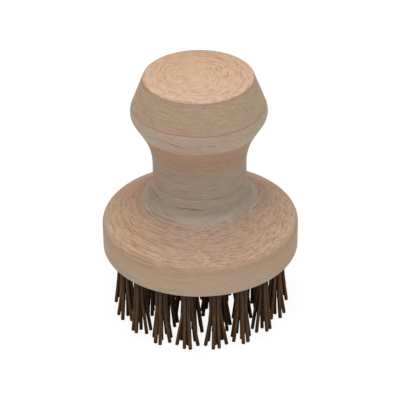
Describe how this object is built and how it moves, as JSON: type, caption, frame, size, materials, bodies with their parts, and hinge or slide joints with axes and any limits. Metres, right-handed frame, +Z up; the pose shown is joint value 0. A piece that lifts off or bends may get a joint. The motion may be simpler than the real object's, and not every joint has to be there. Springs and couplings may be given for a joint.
{
  "type": "barbecue cleaning brush",
  "caption": "Round hand brush with a turned wooden mushroom grip on a round base, and rings of stiff, splayed brown fibre tufts under it, for scrubbing a barbecue grate.",
  "frame": {"origin": "on the axis of the head, in the plane of the fibre tips that the brush stands on", "axes": "+Z up the axis of the head, from the tips to the flat top of the knob; +X and +Y across it, with a tuft of the outer ring on +X"},
  "size_m": [0.08, 0.08, 0.1071],
  "materials": {
    "beech": "fine-sanded pale steamed beech, unvarnished, satin",
    "plant_fibre": "stiff dark brown plant fibre, slightly waxy",
    "anchor_metal": "flat galvanised strip"
  },
  "bodies": {
    "root": {"wood_head": "beech", "anchor_strips": "anchor_metal", "tuft_centre": "plant_fibre", "tuft_inner_01": "plant_fibre", "tuft_inner_02": "plant_fibre", "tuft_inner_03": "plant_fibre", "tuft_inner_04": "plant_fibre", "tuft_inner_05": "plant_fibre", "tuft_inner_06": "plant_fibre", "tuft_middle_01": "plant_fibre", "tuft_middle_02": "plant_fibre", "tuft_middle_03": "plant_fibre", "tuft_middle_04": "plant_fibre", "tuft_middle_05": "plant_fibre", "tuft_middle_06": "plant_fibre", "tuft_middle_07": "plant_fibre", "tuft_middle_08": "plant_fibre", "tuft_middle_09": "plant_fibre", "tuft_middle_10": "plant_fibre", "tuft_middle_11": "plant_fibre", "tuft_middle_12": "plant_fibre", "tuft_outer_01": "plant_fibre", "tuft_outer_02": "plant_fibre", "tuft_outer_03": "plant_fibre", "tuft_outer_04": "plant_fibre", "tuft_outer_05": "plant_fibre", "tuft_outer_06": "plant_fibre", "tuft_outer_07": "plant_fibre", "tuft_outer_08": "plant_fibre", "tuft_outer_09": "plant_fibre", "tuft_outer_10": "plant_fibre", "tuft_outer_11": "plant_fibre", "tuft_outer_12": "plant_fibre", "tuft_outer_13": "plant_fibre", "tuft_outer_14": "plant_fibre", "tuft_outer_15": "plant_fibre", "tuft_outer_16": "plant_fibre", "tuft_outer_17": "plant_fibre", "tuft_outer_18": "plant_fibre"}
  },
  "joints": []
}
